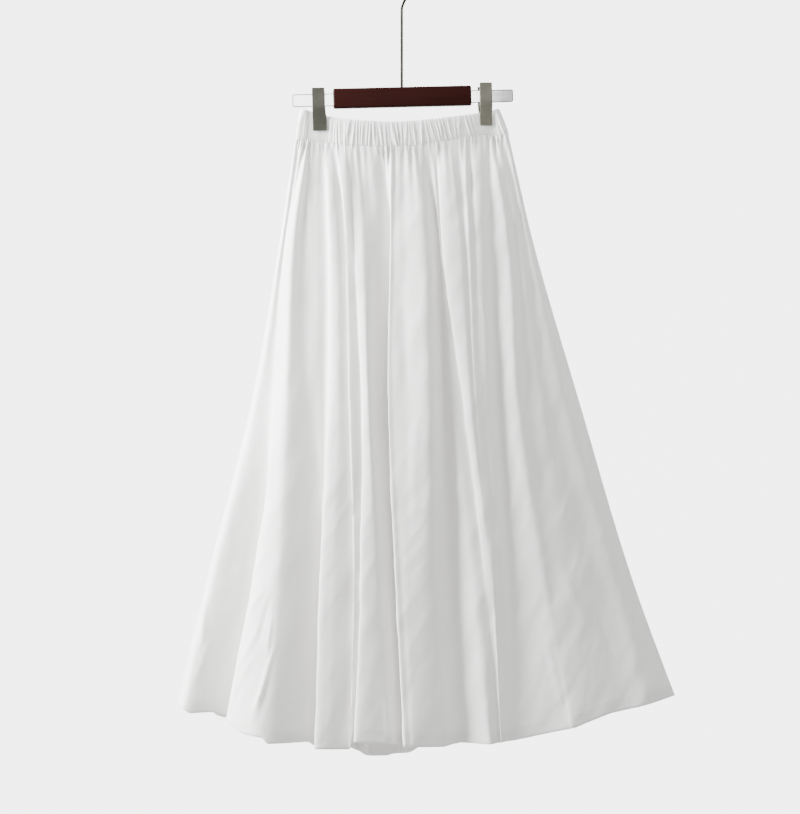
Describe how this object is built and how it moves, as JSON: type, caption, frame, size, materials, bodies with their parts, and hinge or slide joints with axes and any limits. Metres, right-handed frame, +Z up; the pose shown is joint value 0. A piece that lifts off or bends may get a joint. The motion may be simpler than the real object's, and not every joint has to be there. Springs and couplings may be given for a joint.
{
  "type": "white gathered maxi skirt on a wooden clip hanger",
  "caption": "Long white cotton skirt with a gathered elastic waist, hung flat by two steel clips from a dark wood and steel hanger.",
  "frame": {"origin": "inside top of the hanger's hook, where a rail touches it", "axes": "+Z up; +X to the right as seen from the front; the front faces -Y"},
  "size_m": [0.6984, 0.1919, 1.1203],
  "materials": {
    "cloth": "soft plain-weave cotton, matt",
    "wood": "dark red-brown lacquer, glossy",
    "strip_steel": "polished",
    "hook_steel": "drawn wire, satin",
    "clip_steel": "satin nickel"
  },
  "bodies": {
    "root": {"waistband": "cloth", "skirt_front": "cloth", "skirt_back": "cloth", "hook": "hook_steel", "wood_bar": "wood", "steel_strip": "strip_steel", "clip_left_front": "clip_steel", "clip_left_back": "clip_steel", "clip_left_spring": "clip_steel", "clip_right_front": "clip_steel", "clip_right_back": "clip_steel", "clip_right_spring": "clip_steel"}
  },
  "joints": []
}
